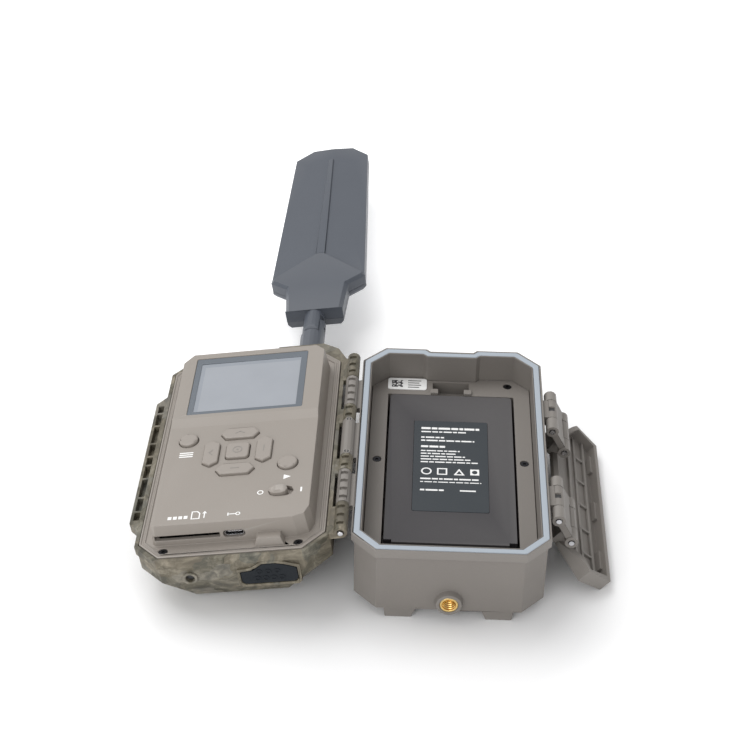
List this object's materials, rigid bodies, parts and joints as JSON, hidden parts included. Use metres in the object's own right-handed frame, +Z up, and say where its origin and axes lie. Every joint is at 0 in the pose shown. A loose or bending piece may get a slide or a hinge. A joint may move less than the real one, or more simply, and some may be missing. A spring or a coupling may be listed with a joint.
{
  "type": "trail camera",
  "caption": "Cellular trail camera opened flat: rear case with battery, hinged camera half with screen and keys, toggle latch and folding paddle antenna.",
  "frame": {"origin": "centre of the bounding box in X and Y, on the table plane at Z = 0, with the camera lying open on its back", "axes": "+Z up, +Y along the case from the port end to the antenna tip, +X from the camera half to the latch edge of the rear case"},
  "size_m": [0.2186, 0.3802, 0.052],
  "materials": {
    "case_plastic": "fine moulded texture",
    "camo_plastic": "moulded bark texture with printed olive, tan and grey pattern",
    "panel_plastic": "fine satin texture",
    "gasket_rubber": "smooth soft silicone",
    "plug_rubber": "matte soft rubber",
    "battery_plastic": "fine moulded texture",
    "slate_label": "satin printed film",
    "white_label": "printed paper label",
    "antenna_plastic": "fine moulded texture",
    "steel": "plain",
    "brass": "gold plated",
    "black_screws": "black oxide",
    "black_plastic": "satin",
    "circuit_board": "solder mask",
    "screen_window": "clear window with a printed grey border",
    "screen_panel": "unlit liquid crystal panel",
    "lamp_window": "dark tinted",
    "lens_glass": "coated",
    "sensor_lens": "translucent ribbed film"
  },
  "bodies": {
    "case": {"hinge_pin": "steel", "rear_case": "case_plastic", "rim_gasket": "gasket_rubber", "tripod_insert": "brass", "battery_liner": "case_plastic", "liner_screw_1": "black_screws", "liner_screw_2": "black_screws", "liner_screw_3": "black_screws", "liner_screw_4": "black_screws", "serial_label": "white_label", "battery_contact_left": "brass", "battery_contact_right": "brass"},
    "battery": {"battery_pack": "battery_plastic", "battery_label": "slate_label"},
    "housing": {"front_housing": "camo_plastic", "control_panel": "panel_plastic", "panel_screw_1": "black_screws", "panel_screw_2": "black_screws", "panel_screw_3": "black_screws", "panel_screw_4": "black_screws", "lcd_window": "screen_window", "lcd_module": "screen_panel", "main_board": "circuit_board", "sd_card_socket": "steel", "usb_c_socket": "steel", "dc_jack": "black_plastic", "microphone": "black_plastic", "speaker": "black_plastic", "lens_bezel": "black_plastic", "lens_glass": "lens_glass", "camera_module": "black_plastic", "ir_window": "lamp_window", "ir_led_board": "circuit_board", "pir_lens": "sensor_lens", "pir_sensor": "steel", "antenna_connector": "brass"},
    "key_menu": {"key_menu": "panel_plastic"},
    "key_start": {"key_start": "panel_plastic"},
    "key_up": {"key_up": "panel_plastic"},
    "key_down": {"key_down": "panel_plastic"},
    "key_left": {"key_left": "panel_plastic"},
    "key_right": {"key_right": "panel_plastic"},
    "key_ok": {"key_ok": "panel_plastic"},
    "power_switch": {"power_switch_knob": "panel_plastic"},
    "port_plug": {"port_plug": "plug_rubber"},
    "latch_links": {"latch_link_upper": "case_plastic", "latch_case_pin_upper": "steel", "latch_lever_pin_upper": "steel", "latch_link_lower": "case_plastic", "latch_case_pin_lower": "steel", "latch_lever_pin_lower": "steel"},
    "latch_lever": {"latch_lever": "case_plastic"},
    "antenna_swivel": {"antenna_swivel": "antenna_plastic", "antenna_elbow_pin": "steel"},
    "antenna_paddle": {"antenna_cover_back": "antenna_plastic", "antenna_cover_front": "antenna_plastic", "antenna_element": "circuit_board"}
  },
  "joints": [
    {"name": "battery_slide", "type": "slide", "parent": "case", "child": "battery", "axis": [0, 0, -1], "range_m": [-0.04, 0]},
    {"name": "case_hinge", "type": "hinge", "parent": "case", "child": "housing", "pos_m": [-0.01304, -0.11345, 0.0419], "axis": [0, 1, 0], "range_deg": [0, 188.24]},
    {"name": "press_menu", "type": "slide", "parent": "housing", "child": "key_menu", "axis": [0.1434, 0, -0.9897], "range_m": [0, 0.0008], "stiffness_N_per_m": 800},
    {"name": "press_start", "type": "slide", "parent": "housing", "child": "key_start", "axis": [0.1434, 0, -0.9897], "range_m": [0, 0.0008], "stiffness_N_per_m": 800},
    {"name": "press_up", "type": "slide", "parent": "housing", "child": "key_up", "axis": [0.1434, 0, -0.9897], "range_m": [0, 0.0008], "stiffness_N_per_m": 800},
    {"name": "press_down", "type": "slide", "parent": "housing", "child": "key_down", "axis": [0.1434, 0, -0.9897], "range_m": [0, 0.0008], "stiffness_N_per_m": 800},
    {"name": "press_left", "type": "slide", "parent": "housing", "child": "key_left", "axis": [0.1434, 0, -0.9897], "range_m": [0, 0.0008], "stiffness_N_per_m": 800},
    {"name": "press_right", "type": "slide", "parent": "housing", "child": "key_right", "axis": [0.1434, 0, -0.9897], "range_m": [0, 0.0008], "stiffness_N_per_m": 800},
    {"name": "press_ok", "type": "slide", "parent": "housing", "child": "key_ok", "axis": [0.1434, 0, -0.9897], "range_m": [0, 0.0008], "stiffness_N_per_m": 800},
    {"name": "power_switch_slide", "type": "slide", "parent": "housing", "child": "power_switch", "axis": [0.9897, 0, 0.1434], "range_m": [0, 0.0023]},
    {"name": "port_plug_pull", "type": "slide", "parent": "housing", "child": "port_plug", "axis": [0, 1, 0], "range_m": [-0.012, 0]},
    {"name": "latch_link_hinge", "type": "hinge", "parent": "case", "child": "latch_links", "pos_m": [0.08356, -0.11345, 0.0373], "axis": [0, 1, 0], "range_deg": [-40, 7.5]},
    {"name": "latch_lever_hinge", "type": "hinge", "parent": "latch_links", "child": "latch_lever", "pos_m": [0.09012, -0.11345, 0.0247], "axis": [0, -1, 0], "range_deg": [0, 155]},
    {"name": "antenna_turn", "type": "hinge", "parent": "housing", "child": "antenna_swivel", "pos_m": [-0.03681, -0.01345, 0.02391], "axis": [0, 1, 0], "range_deg": [-180, 180]},
    {"name": "antenna_fold", "type": "hinge", "parent": "antenna_swivel", "child": "antenna_paddle", "pos_m": [-0.03681, -0.00145, 0.02391], "axis": [0.9897, 0, 0.1434], "range_deg": [0, 90]}
  ]
}
